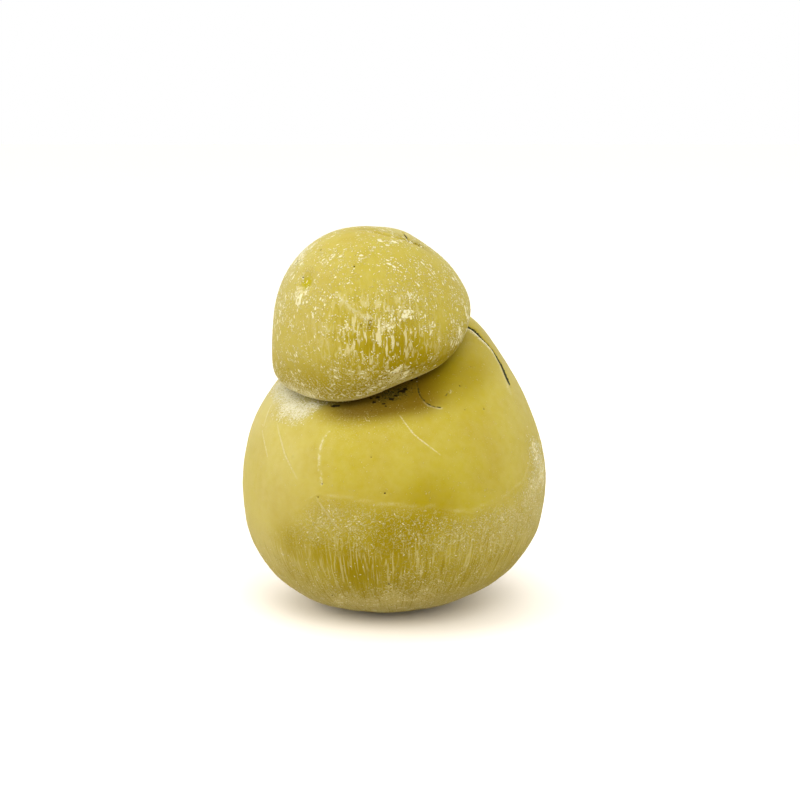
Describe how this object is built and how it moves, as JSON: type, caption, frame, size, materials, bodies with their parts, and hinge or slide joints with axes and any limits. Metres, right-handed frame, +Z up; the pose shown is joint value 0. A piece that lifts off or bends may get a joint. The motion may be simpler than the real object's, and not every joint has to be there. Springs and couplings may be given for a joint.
{
  "type": "provolone cheese",
  "caption": "Whole hanging cheese of stretched curd: a round belly, a tied throat and a head that has sagged forward over it, with a waxy rind.",
  "frame": {"origin": "on the table, under the middle of the belly", "axes": "+Z up from the foot to the top of the head, -Y the side that the lip hangs over, +X to the right seen from there"},
  "size_m": [0.134, 0.134, 0.1693],
  "materials": {
    "cheese": "waxy, semi-matte"
  },
  "bodies": {
    "root": {"cheese": "cheese"}
  },
  "joints": []
}
